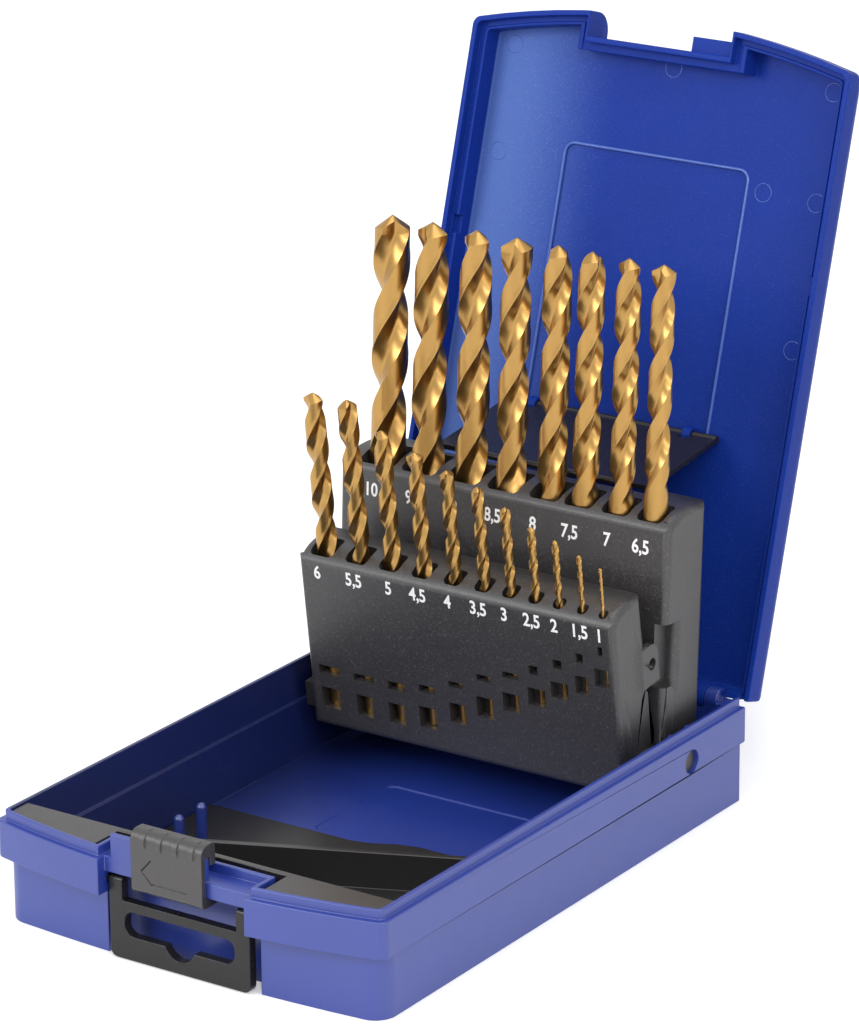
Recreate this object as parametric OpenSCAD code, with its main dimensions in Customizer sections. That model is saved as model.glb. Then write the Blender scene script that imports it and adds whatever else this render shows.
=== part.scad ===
// Folding drill bit case: a moulded tray and hinged lid, with two blocks that swing up
// as the lid opens and stand the nineteen twist drills in two rows.
// Millimetres. The origin is the centre of the tray's underside, +Z is up,
// -Y is the latch side and +Y is the hinge side. It is drawn open.

/* [Case] */
// Width across the collar
case_w = 120; // [119:0.5:122]
// Length of the straight sides, hinge wall to front corner
case_l = 170; // [170:0.5:172]
// How far the front wall bows out between its corners
front_bow = 7.5; // [7:0.1:8]
// Height of the tray up to the rim that the lid rests on
tray_h = 27.4; // [27.4:0.1:28]
// Height of the collar below that rim
collar_h = 10; // [9:0.1:10]
// How far the tray's lower body stands in from the collar
body_inset = 1.5; // [1.2:0.1:1.8]
// Thickness of the floor
floor_t = 2; // [1.6:0.1:2]
// Height of the lid above the rim
lid_h = 11; // [11:0.1:12]
// Thickness of the lid's top skin
skin_t = 1.8; // [1.5:0.1:1.8]
// Rounding of the lid's outer top edge
lid_round = 6; // [5:0.5:6]

/* [Open pose] */
// Angle that the lid has swung from closed
lid_open = 106.8; // [100:0.1:108]
// Backward lean of the rear block when open
rear_lean = 3; // [2.5:0.1:3.5]
// Forward lean of the front block when open
front_lean = 7.2; // [6.8:0.1:7.4]

/* [Blocks] */
// Distance of the blocks' pivot behind the origin
pivot_y = 57.7; // [57.5:0.1:58]
// Height of the blocks' pivot
pivot_z = 20.9; // [20.8:0.1:21]
// Width of the rear block
rear_w = 105; // [104:0.5:105]
// Thickness of the rear block
rear_t = 18.9; // [18.5:0.1:18.9]
// Height of the rear block above the pivot
rear_top = 67; // [66:0.5:67]
// Width of the front block
front_w = 100; // [99:0.5:100]
// Thickness of the front block
front_t = 14.6; // [14.2:0.1:14.6]
// Height of the front block above the pivot
front_top = 49.1; // [48.5:0.1:49.5]

/* [Drills] */
// Rear row: diameter, place across, overall length and flute length of each
rear_drills = [
    [10, -41.2, 133, 87],
    [9.5, -28.0, 125, 81],
    [9, -13.7, 125, 81],
    [8.5, -0.8, 117, 75],
    [8, 12.3, 117, 75],
    [7.5, 23.0, 109, 69],
    [7, 34.5, 109, 69],
    [6.5, 45.2, 101, 63]
];
// Front row: diameter, place across, overall length, flute length and tip height
front_drills = [
    [6, -43.4, 93, 57, 93.7],
    [5.5, -32.2, 93, 57, 93.8],
    [5, -21.6, 86, 52, 86.9],
    [4.5, -11.3, 80, 47, 82.6],
    [4, -1.3, 75, 43, 79.4],
    [3.5, 8.2, 70, 39, 76.6],
    [3, 16.7, 61, 33, 72.5],
    [2.5, 24.6, 57, 30, 68.4],
    [2, 32.0, 49, 24, 66.2],
    [1.5, 39.3, 40, 18, 63.5],
    [1, 45.8, 34, 12, 61.2]
];
// Height of every rear drill's tip above the pivot
rear_tip = 132.5; // [131:0.5:133]
// Lead of the flutes, in diameters
flute_lead = 5.2; // [4.8:0.1:5.8]

/* [Latch] */
// Half the width of the recess in the front wall
recess_half = 22.5; // [22.2:0.1:22.5]
// Where the slider stands, from the middle of the case to its left end
slider_left = -12.6; // [-12.8:0.1:-12.6]
// Length of the slider
slider_w = 21.9; // [21.5:0.1:21.9]

/* [Hidden] */
$fn = 48;
eps = 0.01;

half_w = case_w / 2;
back_y = case_l / 2;
corner_r = 2.6;
collar_z = tray_h - collar_h;

// Lip that the lid closes over
lip_out = 1.6;
lip_t = 1.2;
lip_top = tray_h + 2.6;
inner_step_z = 18.7;
collar_wall = lip_out + lip_t;
body_wall = body_inset + 2.3;
body_r = 6;
body_bow = 3;
body_front = back_y - 1.2;

// Front recess: ledge, guide panel, lip wall and hanger pocket, as distances towards the front
ledge_y = -88.6;
ledge_z = 23.2;
panel_y = ledge_y + 1.6;
panel_top = 33.6;
panel_left = -20.6;
panel_right = 9.0;
lip_wall_y = -82.2;
pocket_y = -80.4;
pocket_half = 23.6;
recess_wall = 2;

// Two posts on the floor, between the two longest drills of the folded front row
post_x = -37.8;
post_y = [-37.7, -28];
post_r = 1.4;
post_top = 17;

// Hinge along the back
hinge_y = 86;
hinge_z = tray_h;
hinge_r = 3.2;
hinge_pin_r = 1.6;
hinge_gap = 0.05;
hinge_bead_r = 0.8;
knuckle_x = 43;
knuckle_half = 4.8;
ear_t = 4;

// Block pivots
trunnion_r = 3.2;
stub_r = 2;
fit = 0.05;
ear_in = 53;
ear_out = 55.6;
trunnion_end = half_w - 1.4;
rear_pivot_a = 3.5;
front_pivot_a = 18.5;
rear_foot = -12;
front_foot = -4.5;

// Lift plate and the lid's lugs, in the closed lid
lug_y = 18.2;
lug_z = 34.2;
lug_x = 25;
lug_t = 2.6;
rod_r = 1.3;
plate_len = 34.5;
plate_half = 34;
plate_t = 1.6;
plate_dip = 6.6;
lid_ceiling = tray_h + lid_h - skin_t;

// Hanger
hanger_front = -88.2;
hanger_t = 2.8;
hanger_half = 21.65;
hanger_pivot_y = hanger_front + hanger_t / 2;
hanger_pivot_z = 20.9;
hanger_pin_r = 1;

// ---- Outlines in plan -------------------------------------------------------

// Straight sides, round corners and a bowed front, set in by the inset on the sides and front
module bowed_outline(inset, half, front, bow, r, rear) {
    big_r = (half * half + bow * bow) / (2 * bow);
    centre_y = -front - bow + big_r;
    cx = half - inset - r;
    cy = centre_y - sqrt(pow(big_r - inset - r, 2) - cx * cx);
    reach = 1.4;
    intersection() {
        translate([0, centre_y])
            circle(r = big_r - inset, $fn = 180);
        polygon([
            [0, 0],
            [-cx * centre_y / (centre_y - cy) * 0.999, 0],
            [-cx * reach, centre_y - (centre_y - cy) * reach],
            [cx * reach, centre_y - (centre_y - cy) * reach],
            [cx * centre_y / (centre_y - cy) * 0.999, 0]
        ]);
    }
    translate([-half + inset, cy])
        square([2 * (half - inset), rear - cy]);
    for (side = [-1, 1])
        translate([side * cx, cy])
            circle(r = r);
}

module collar_outline(inset = 0, rear = back_y) {
    bowed_outline(inset, half_w, back_y, front_bow, max(corner_r - inset / 2, 1.2), rear);
}

module body_outline(inset = 0, rear = back_y) {
    bowed_outline(inset, half_w - body_inset, body_front, body_bow, body_r - inset / 2, rear);
}

// A rectangle with round corners, centred
module round_rect(w, d, r) {
    square([w - 2 * r, d], center = true);
    square([w, d - 2 * r], center = true);
    for (x = [-1, 1], y = [-1, 1])
        translate([x * (w / 2 - r), y * (d / 2 - r)])
            circle(r = r, $fn = 24);
}

// A box given by its two far corners
module span(low, high) {
    translate(low)
        cube(high - low);
}

// A rod along X between two places
module rod(x0, x1, y, z, r) {
    translate([x0, y, z])
        rotate([0, 90, 0])
            cylinder(r = r, h = x1 - x0);
}

// ---- Tray -------------------------------------------------------------------

// The solid outside: lower body, collar and the lip round the top
module tray_outside() {
    linear_extrude(collar_z + eps)
        body_outline();
    translate([0, 0, collar_z])
        linear_extrude(collar_h)
            collar_outline();
    translate([0, 0, tray_h - eps])
        linear_extrude(lip_top - tray_h + eps)
            collar_outline(lip_out, back_y - 0.4);
}

// What is hollowed out: the lower room and the slightly wider room at the collar
module tray_hollow() {
    translate([0, 0, floor_t])
        linear_extrude(inner_step_z - floor_t + eps)
            body_outline(body_wall - body_inset, back_y - 2.6);
    translate([0, 0, inner_step_z])
        linear_extrude(tray_h - inner_step_z + eps)
            collar_outline(collar_wall, back_y - 2);
    translate([0, 0, tray_h])
        linear_extrude(lip_top - tray_h + eps)
            collar_outline(collar_wall, back_y + 1);
}

// Walls of the recess that are kept when the tray is hollowed
module recess_keep() {
    side = pocket_half + recess_wall;
    span([-side, -case_l, 0], [side, pocket_y + recess_wall, ledge_z]);
    span([-side + 0.9, -case_l, ledge_z - eps], [side - 0.9, lip_wall_y + 1.4, lip_top]);
}

// The open space of the recess: above the ledge, and the hanger's pocket below it
module recess_void() {
    wide = recess_half;
    span([-wide - 1, -case_l, tray_h], [wide + 1, lip_wall_y, lip_top + 1]);
    span([-wide, -case_l, ledge_z - eps], [wide, ledge_y, tray_h + 1]);
    span([-wide, -case_l, collar_z - eps], [wide, pocket_y, ledge_z]);
    span([-pocket_half, -case_l, -1], [pocket_half, pocket_y, collar_z]);
}

// Ears on the back wall that hold the lid's hinge pins
module tray_ears() {
    for (side = [-1, 1], end = [-1, 1]) {
        mid = side * knuckle_x + end * (knuckle_half + 0.2 + ear_t / 2);
        rod(mid - ear_t / 2, mid + ear_t / 2, hinge_y, hinge_z, hinge_r);
        span([mid - ear_t / 2, back_y - 2, hinge_z - 8], [mid + ear_t / 2, hinge_y, hinge_z]);
        translate([mid - ear_t / 2, hinge_y, hinge_z])
            rotate([90, 0, 90])
                linear_extrude(ear_t)
                    polygon([[0, 0], [hinge_r, 0], [-1, -9], [-2, -9], [-2, 0]]);
    }
}

// Bead along the back wall that closes the line under the open lid, clear of the knuckles
module hinge_bead() {
    clear = knuckle_half + ear_t + 0.6;
    for (zone = [
        [-half_w + 3, -knuckle_x - clear],
        [-knuckle_x + clear, knuckle_x - clear],
        [knuckle_x + clear, half_w - 3]
    ]) {
        rod(zone[0], zone[1], hinge_y, hinge_z, hinge_bead_r);
        span([zone[0], back_y - 1, hinge_z - 2], [zone[1], hinge_y, hinge_z]);
    }
}

module tray() {
    color([0.16, 0.2, 0.62])
        difference() {
            union() {
                difference() {
                    tray_outside();
                    difference() {
                        tray_hollow();
                        recess_keep();
                    }
                    recess_void();
                }
                tray_ears();
                hinge_bead();
                // Guide panel that the slider runs on
                span([panel_left, ledge_y, tray_h - eps], [panel_right, panel_y, panel_top]);
                // Ribs beside each pivot, and the two posts between the long drills
                for (side = [-1, 1], y = [pivot_y - 5.6, pivot_y + 2.7])
                    translate([side * (half_w - collar_wall + eps), y, 0])
                        span([side > 0 ? -1.3 : 0, -0.8, inner_step_z],
                            [side > 0 ? 0 : 1.3, 0.8, lip_top - 0.5]);
                for (y = post_y)
                    translate([post_x, y, floor_t - eps]) {
                        cylinder(r = post_r, h = post_top - floor_t - post_r);
                        translate([0, 0, post_top - floor_t - post_r])
                            sphere(r = post_r);
                    }
            }
            // Pivot bores through the side walls
            for (side = [-1, 1])
                rod(side > 0 ? half_w - 6 : -half_w - 1, side > 0 ? half_w + 1 : -half_w + 6,
                    pivot_y, pivot_z, trunnion_r + fit);
            // Hinge bores in the ears, and room for the lid's knuckles
            for (side = [-1, 1]) {
                outer = knuckle_half + ear_t + 1;
                rod(side * knuckle_x - outer, side * knuckle_x + outer,
                    hinge_y, hinge_z, hinge_pin_r + hinge_gap);
                rod(side * knuckle_x - knuckle_half - 0.2, side * knuckle_x + knuckle_half + 0.2,
                    hinge_y, hinge_z, hinge_r + 0.3);
            }
            // Bores for the hanger's pins
            rod(-recess_half - 2.2, recess_half + 2.2, hanger_pivot_y, hanger_pivot_z, hanger_pin_r + fit);
            // Shallow panel in the floor
            translate([0, 20.7, floor_t - 0.4])
                linear_extrude(1)
                    round_rect(48.8, 36.5, 3);
        }
}

// ---- Lid --------------------------------------------------------------------

// Outside of the closed lid, rounded along its top edge
module lid_outside() {
    steps = 7;
    hull() {
        translate([0, 0, tray_h])
            linear_extrude(eps)
                collar_outline();
        for (i = [0:steps]) {
            a = 90 * i / steps;
            inset = lid_round * (1 - cos(a));
            translate([0, 0, tray_h + lid_h - lid_round + lid_round * sin(a) - eps])
                linear_extrude(eps)
                    collar_outline(inset, back_y - inset);
        }
    }
}

// Plan of the notch over the latch; the walls round it are this plan grown
module notch_plan(side = 0, back = 0) {
    x = recess_half + 0.2 + side;
    translate([-x, -case_l])
        square([2 * x, case_l + lid_notch_y + back]);
}
lid_notch_y = -84.4;

// Room inside the lid: its ceiling, the step inside the skirt and the groove for the tray's lip
module lid_room() {
    translate([0, 0, tray_h - 1])
        linear_extrude(lid_ceiling - tray_h + 1)
            difference() {
                collar_outline(3.8, back_y - 3);
                notch_plan(3.8, 3.8);
            }
    translate([0, 0, tray_h - 1.5])
        linear_extrude(lip_top - 0.3 - tray_h + 1.5)
            difference() {
                collar_outline(2.2, back_y - 1.8);
                notch_plan(1.3, 2.4);
            }
    translate([0, 0, tray_h - 2])
        linear_extrude(lip_top + 0.2 - tray_h + 2)
            difference() {
                collar_outline(1.45, back_y + 1);
                difference() {
                    collar_outline(3, back_y + 2);
                    notch_plan(2.4, 3.9);
                }
                notch_plan(0.6, 1.6);
            }
    translate([0, -17.7, lid_ceiling - 1])
        linear_extrude(1.5)
            round_rect(58.8, 74.6, 3);
}

module lid_closed() {
    difference() {
        union() {
            difference() {
                lid_outside();
                lid_room();
                translate([0, 0, tray_h - 3])
                    linear_extrude(lid_h + 6)
                        notch_plan();
            }
            // Knuckles, with an arm to the back wall
            for (side = [-1, 1]) {
                x0 = side * knuckle_x - knuckle_half;
                rod(x0, x0 + 2 * knuckle_half, hinge_y, hinge_z, hinge_r);
                span([x0, back_y - 2.5, hinge_z], [x0 + 2 * knuckle_half, hinge_y, hinge_z + 5]);
                translate([x0, hinge_y, hinge_z])
                    rotate([90, 0, 90])
                        linear_extrude(2 * knuckle_half)
                            polygon([[hinge_r, 0], [-1, 0], [-1, 6.5], [0, 6]]);
                rod(x0 - ear_t, x0 + 2 * knuckle_half + ear_t, hinge_y, hinge_z, hinge_pin_r);
            }
            // Lugs that carry the lift plate
            for (side = [-1, 1])
                difference() {
                    union() {
                        rod(side * lug_x - lug_t / 2, side * lug_x + lug_t / 2, lug_y, lug_z, 2.2);
                        span([side * lug_x - lug_t / 2, lug_y - 2.2, lug_z],
                            [side * lug_x + lug_t / 2, lug_y + 2.2, lid_ceiling + 1]);
                    }
                    rod(side * lug_x - lug_t, side * lug_x + lug_t, lug_y, lug_z, rod_r + fit);
                }
            // Tongue that the slider hooks over: a shelf out from the notch and its upturned edge
            span([tongue_left, ledge_y + 0.1, 29.2], [recess_half + 0.3, lid_notch_y + 0.5, 30.8]);
            span([tongue_left, ledge_y + 0.1, 29.2], [recess_half + 0.3, panel_y, panel_top]);
        }
        lid_cuts();
    }
}
tongue_left = 9.6;

// Cuts that go through more than one wall of the lid
module lid_cuts() {
    // Room for the tray's ears
    for (side = [-1, 1], end = [-1, 1]) {
        mid = side * knuckle_x + end * (knuckle_half + 0.2 + ear_t / 2);
        difference() {
            rod(mid - ear_t / 2 - 0.2, mid + ear_t / 2 + 0.2, hinge_y, hinge_z, hinge_r + 0.4);
            rod(mid - ear_t / 2 - 1, mid + ear_t / 2 + 1, hinge_y, hinge_z, hinge_pin_r);
        }
    }
    // Notches in the inner edge of the side walls
    for (side = [-1, 1])
        translate([side * (half_w - 2.9), -27.5, tray_h + 2])
            cube([2.4, 5, 5], center = true);
}

// Puts a shape drawn for the closed lid where the open lid holds it
module with_lid() {
    translate([0, hinge_y, hinge_z])
        rotate([-lid_open, 0, 0])
            translate([0, -hinge_y, -hinge_z])
                children();
}

module lid() {
    color([0.16, 0.24, 0.66])
        with_lid()
            lid_closed();
}

// ---- Blocks -----------------------------------------------------------------

// Side view of a block: depth back from its face, height above the pivot.
// The top front edge is a quarter of an ellipse.
module block_side(t, foot, top, round_a, round_h, foot_r) {
    steps = 12;
    difference() {
        polygon(concat(
            [[t, foot], [t, top]],
            [for (i = [0:steps]) [
                round_a * (1 - sin(90 * i / steps)),
                top - round_h * (1 - cos(90 * i / steps))
            ]],
            [[0, foot]]
        ));
        if (foot_r > 0)
            translate([0, foot])
                difference() {
                    translate([-1, -1])
                        square(foot_r + 1);
                    translate([foot_r, foot_r])
                        circle(r = foot_r);
                }
    }
}

// A block standing on its pivot, face at y = 0
module block_body(w, t, foot, top, round_a, round_h, foot_r) {
    intersection() {
        translate([-w / 2, 0, 0])
            rotate([90, 0, 90])
                linear_extrude(w)
                    block_side(t, foot, top, round_a, round_h, foot_r);
        translate([0, 0, foot - 1])
            linear_extrude(top - foot + 2) {
                translate([0, t / 2 + 2])
                    round_rect(w, t + 4, 2);
            }
    }
}

// Hole for one drill: a square pocket with round corners above, a bore below
module drill_seat(d, x, a, foot, top) {
    mouth = d + 1.5;
    translate([x, a, foot]) {
        cylinder(r = d / 2 + 0.08, h = top - foot + 2, $fn = 32);
        translate([0, 0.2, (top - foot) * 0.42])
            linear_extrude(top - foot)
                round_rect(mouth, mouth, min(1.5, mouth / 2.4));
    }
}

rear_face_gap = 1.6;
front_face_gap = 2;

module in_rear_block() {
    translate([0, pivot_y, pivot_z])
        rotate([-rear_lean, 0, 0])
            translate([0, -rear_pivot_a, 0])
                children();
}

module in_front_block() {
    translate([0, pivot_y, pivot_z])
        rotate([front_lean, 0, 0])
            translate([0, -front_pivot_a, 0])
                children();
}

module rear_block() {
    color([0.2, 0.2, 0.21])
        in_rear_block()
            difference() {
                union() {
                    difference() {
                        block_body(rear_w, rear_t, rear_foot, rear_top, 12, 5, 0);
                        // The face is set back below the pivot, clear of the front block
                        span([-rear_w, -1, rear_foot - 1], [rear_w, 3.2, -2.6]);
                        span([-rear_w, -1, -3], [rear_w, 1.2, 1.5]);
                    }
                    rod(-ear_out + 0.4, ear_out - 0.4, rear_pivot_a, 0, stub_r);
                }
                for (d = rear_drills)
                    drill_seat(d[0], d[1], rear_face_gap + d[0] / 2, rear_tip - d[2], rear_top);
                // Notches in the side edges for the front block's lugs
                for (side = [-1, 1])
                    span([side > 0 ? front_w / 2 - 1 : -rear_w, -1, 19.5],
                        [side > 0 ? rear_w : 1 - front_w / 2, 6, 37]);
                // Pocket in the back for the lift plate
                span([-37, rear_t - 4.7, 33], [37, rear_t + 1, rear_top + 1]);
                // Hollow behind the low part
                for (x = [-39, -13, 13, 39])
                    span([x - 11.5, 11.8, rear_foot - 1], [x + 11.5, rear_t - 2, -5]);
            }
}

// Windows in the front block's face: place across, half width, low and high edge
upper_windows = [
    [-43.0, 3.4, 11.7, 14.4], [-31.7, 3.3, 12.2, 14.1], [-21.0, 2.8, 11.8, 14.3],
    [-11.0, 2.6, 13.4, 15.5], [-1.3, 2.3, 17.0, 18.7], [7.8, 2.2, 21.0, 22.8],
    [16.5, 2.5, 23.7, 25.5], [24.1, 1.4, 26.6, 29.2], [31.9, 1.35, 30.0, 32.6],
    [39.0, 1.1, 33.4, 36.0], [45.6, 0.7, 36.8, 39.4]
];
lower_windows = [
    [-43.2, 2.95, 1.6, 7.7], [-32.0, 2.65, 1.5, 7.8], [-21.5, 2.65, 1.7, 7.7],
    [-11.3, 2.8, 2.6, 8.9], [-1.3, 2.65, 6.3, 12.2], [7.7, 2.65, 10.0, 16.1],
    [16.3, 2.65, 13.8, 19.2], [24.6, 2.75, 17.3, 22.5], [32.0, 2.7, 21.2, 25.9],
    [39.2, 2.0, 24.2, 29.4], [45.5, 2.1, 27.6, 32.8]
];

// Lug with a round eye behind each side of the front block, about half way up
lug_in = 0.8;
lug_reach = 4.6;
lug_low = 22.4;
lug_high = 33.8;
lug_r = 3.4;

module block_lug() {
    translate([front_w / 2 - lug_in, front_t, 0])
        rotate([90, 0, 90])
            linear_extrude(lug_in + 1)
                difference() {
                    union() {
                        translate([-3, lug_low])
                            square([3 + lug_reach, lug_high - lug_r - lug_low]);
                        translate([-3, lug_low])
                            square([3 + lug_reach - lug_r, lug_high - lug_low]);
                        translate([lug_reach - lug_r, lug_high - lug_r])
                            circle(r = lug_r);
                    }
                    translate([1.5, (lug_low + lug_high) / 2])
                        circle(r = 1.7);
                }
}

module front_block() {
    color([0.2, 0.2, 0.21])
        in_front_block()
            difference() {
                union() {
                    block_body(front_w, front_t, front_foot, front_top, 9, 4.5, 2.2);
                    // Flange and ear on each side, then the pin that turns in the tray wall
                    for (side = [-1, 1]) {
                        x0 = side > 0 ? ear_in : -ear_out;
                        span([side > 0 ? front_w / 2 - 1 : -ear_out, 5, -2.3],
                            [side > 0 ? ear_out : -front_w / 2 + 1, front_t - 0.1, 4.8]);
                        rod(x0, x0 + ear_out - ear_in, front_pivot_a, 0, 5);
                        span([x0, 8, -2.3], [x0 + ear_out - ear_in, front_pivot_a, 5]);
                        rod(side > 0 ? ear_out - eps : -trunnion_end, side > 0 ? trunnion_end : -ear_out + eps,
                            front_pivot_a, 0, trunnion_r);
                    }
                    block_lug();
                    mirror([1, 0, 0])
                        block_lug();
                }
                for (side = [-1, 1])
                    rod(side > 0 ? ear_in - 1 : -ear_out - eps, side > 0 ? ear_out + eps : -ear_in + 1,
                        front_pivot_a, 0, stub_r + fit);
                for (d = front_drills)
                    drill_seat(d[0], d[1], front_face_gap + d[0] / 2, d[4] - d[2], front_top);
                for (i = [0:len(front_drills) - 1])
                    for (w = [upper_windows[i], lower_windows[i]])
                        span([w[0] - w[1], -1, w[2]],
                            [w[0] + w[1], front_face_gap + front_drills[i][0] / 2, w[3]]);
            }
}

// ---- Front insert -----------------------------------------------------------

insert_top = 29.5;
insert_back = -76;

// Plan of the wings: just inside the lip, and round the recess
module wing_plan() {
    difference() {
        intersection() {
            collar_outline(collar_wall + 0.4);
            translate([-half_w, -case_l])
                square([case_w, case_l + insert_back]);
        }
        translate([-pocket_half - recess_wall - 0.5, -case_l])
            square([2 * (pocket_half + recess_wall + 0.5), case_l + pocket_y + recess_wall + 0.4]);
    }
}

// Plan of the diagonal wall, between two distances behind its front edge
module wall_plan(near, far) {
    slope = 0.434;
    reach = 55.6;
    drop = -28.9;
    across = cos(atan(slope));
    polygon([
        [-reach, drop - slope * reach + near / across], [reach, drop + slope * reach + near / across],
        [reach, drop + slope * reach + far / across], [-reach, drop - slope * reach + far / across]
    ]);
}

module front_insert() {
    color([0.13, 0.13, 0.14])
        difference() {
            union() {
                // Wings: a skin on top and a thin back wall down to the floor
                translate([0, 0, inner_step_z + 0.2])
                    linear_extrude(insert_top - inner_step_z - 0.2)
                        wing_plan();
                span([-55.8, insert_back - 1.6, floor_t], [55.8, insert_back, inner_step_z + 1]);
                // Base plate
                translate([0, 0, floor_t])
                    linear_extrude(0.9)
                        polygon([[-55.8, insert_back - 1], [55.8, insert_back - 1], [55.8, 6], [8, 6],
                            [2, 4.5], [-4, 1.5], [-10, 0], [-55.8, 0]]);
                // Diagonal wall, stepped at the top behind a raised front edge
                translate([0, 0, floor_t]) {
                    linear_extrude(9.5)
                        wall_plan(0, 4);
                    linear_extrude(10.3)
                        wall_plan(0, 3.4);
                    linear_extrude(10.9)
                        wall_plan(0, 1.3);
                }
            }
            // Hollow under the wings
            difference() {
                translate([0, 0, floor_t])
                    linear_extrude(insert_top - floor_t - 1.6)
                        collar_outline(collar_wall + 2);
                span([-half_w, insert_back - 1.6, 0], [half_w, case_l, insert_top]);
                span([-pocket_half - recess_wall - 1.9, -case_l, 0],
                    [pocket_half + recess_wall + 1.9, insert_back, insert_top]);
            }
            // Holes for the tray's posts
            for (y = post_y)
                translate([post_x, y, 0])
                    cylinder(r = post_r + 0.4, h = 10);
        }
}

// ---- Latch slider -----------------------------------------------------------

// Side view of the slider: y towards the back, z up
module slider_side() {
    front = ledge_y - 2;
    back = ledge_y + 3.9;
    face_back = ledge_y - 0.15;
    leg_front = panel_y + 0.2;
    top = 37.3;
    foot_low = 20.6;
    difference() {
        union() {
            // Front plate
            translate([front, foot_low + 1.5])
                square([face_back - front, top - foot_low - 5]);
            // Foot that runs under the ledge, with a round underside
            translate([front, foot_low])
                square([5, ledge_z - 0.15 - foot_low]);
            translate([front + 5, ledge_z - 0.15 - 2.45])
                square([2, 2.45]);
            // Cap and back leg
            translate([front, panel_top + 0.2])
                square([back - front, top - panel_top - 0.2]);
            translate([leg_front, 31.4])
                square([back - leg_front, 5]);
        }
        // Round outer edges
        slider_corner(front, top, 1, -1, 2.6);
        slider_corner(back, top, -1, -1, 1.4);
        slider_corner(front, foot_low, 1, 1, 1.5);
        slider_corner(front + 7, ledge_z - 2.6, -1, 1, 1.5);
    }
}

// Cuts a square corner back to a quarter round; sx and sz point into the solid
module slider_corner(y, z, sx, sz, r) {
    translate([y, z])
        difference() {
            translate([sx > 0 ? -1 : -r, sz > 0 ? -1 : -r])
                square(r + 1);
            translate([sx * r, sz * r])
                circle(r = r);
        }
}

module latch_slider() {
    face = ledge_y - 2;
    color([0.22, 0.22, 0.23])
        difference() {
            union() {
                translate([slider_left, 0, 0])
                    rotate([90, 0, 90])
                        linear_extrude(slider_w)
                            slider_side();
                // Grip ribs over the top front edge
                for (i = [0:3])
                    translate([slider_left + 3.6 + i * 5, face + 2.4, 34.6])
                        rotate([0, 90, 0])
                            cylinder(r = 2.95, h = 2, center = true);
            }
            // The ribs end flush inside the cap
            span([slider_left - 1, face + 1.85, 30],
                [slider_left + slider_w + 1, panel_y + 0.2, panel_top + 0.2]);
            // Arrow pressed into the face: it points to the side that frees the lid
            translate([slider_left + 3.2, face + 0.35, 27])
                rotate([90, 0, 0])
                    linear_extrude(1)
                        arrow_line();
            // Scallops along the lower edge
            for (i = [0:3])
                translate([slider_left + 4.4 + i * 4.4, face - 1, 20.2])
                    rotate([-90, 0, 0])
                        cylinder(r = 1, h = 2.9, $fn = 24);
        }
}

// Outline of an arrowhead with a long shaft line
module arrow_line() {
    line = 0.35;
    for (side = [-1, 1])
        rotate(side * 48)
            translate([0, -line / 2])
                square([4.6, line]);
    translate([3.4, -3.2])
        square([10.5, line]);
}

// ---- Hanger -----------------------------------------------------------------

module hanger_plan() {
    difference() {
        translate([0, 9.9])
            round_rect(2 * hanger_half, 19.2, 2);
        // Gap between the ears
        translate([-17.6, 16.2])
            square([35.2, 10]);
        // Hanging slot with a round dip for a peg
        translate([0, 10.2])
            round_rect(34, 6.6, 2.8);
        translate([0, 8.4])
            circle(r = 4.7);
    }
}

module hanger() {
    color([0.22, 0.22, 0.23]) {
        translate([0, hanger_front + hanger_t, 0])
            rotate([90, 0, 0])
                linear_extrude(hanger_t)
                    hanger_plan();
        for (side = [-1, 1]) {
            x0 = side > 0 ? 17.6 : -hanger_half;
            span([x0, hanger_front, 16], [x0 + hanger_half - 17.6, hanger_front + hanger_t, hanger_pivot_z]);
            rod(x0, x0 + hanger_half - 17.6, hanger_pivot_y, hanger_pivot_z, hanger_t / 2);
            rod(side > 0 ? hanger_half - 1 : -recess_half - 1.8,
                side > 0 ? recess_half + 1.8 : -hanger_half + 1,
                hanger_pivot_y, hanger_pivot_z, hanger_pin_r);
        }
    }
}

// ---- Lift plate -------------------------------------------------------------

module lift_plate() {
    open_y = hinge_y + (hinge_y - lug_y) * sin(lid_open - 90) + (lug_z - hinge_z) * cos(lid_open - 90);
    open_z = hinge_z + (hinge_y - lug_y) * cos(lid_open - 90) - (lug_z - hinge_z) * sin(lid_open - 90);
    color([0.15, 0.15, 0.16])
        translate([0, open_y, open_z])
            rotate([plate_dip, 0, 0])
                difference() {
                    union() {
                        rod(-plate_half, plate_half, 0, 0, rod_r);
                        span([-plate_half, -plate_len, -plate_t / 2], [plate_half, 0, plate_t / 2]);
                        // Stiffening ribs and the bead along the free edge
                        rod(-plate_half + 6, plate_half - 6, -plate_len + 0.2, 0, 1.1);
                    }
                    // Room for the lid's lugs beside the rod
                    for (side = [-1, 1])
                        difference() {
                            span([side * lug_x - lug_t / 2 - 0.2, -3.2, -3],
                                [side * lug_x + lug_t / 2 + 0.2, 3, 3]);
                            rod(side * lug_x - lug_t, side * lug_x + lug_t, 0, 0, rod_r);
                        }
                }
}

// ---- Drills -----------------------------------------------------------------

// Cross-section of the fluted part: two lands and two hollows, as a closed outline of n points
function flute_section(r, n) = [
    for (i = [0:n - 1])
        let (
            a = 360 * i / n,
            dip = pow(abs(sin(a)), 1.6),
            k = 1 - 0.52 * dip
        ) [r * k * cos(a), r * k * sin(a)]
];

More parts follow.
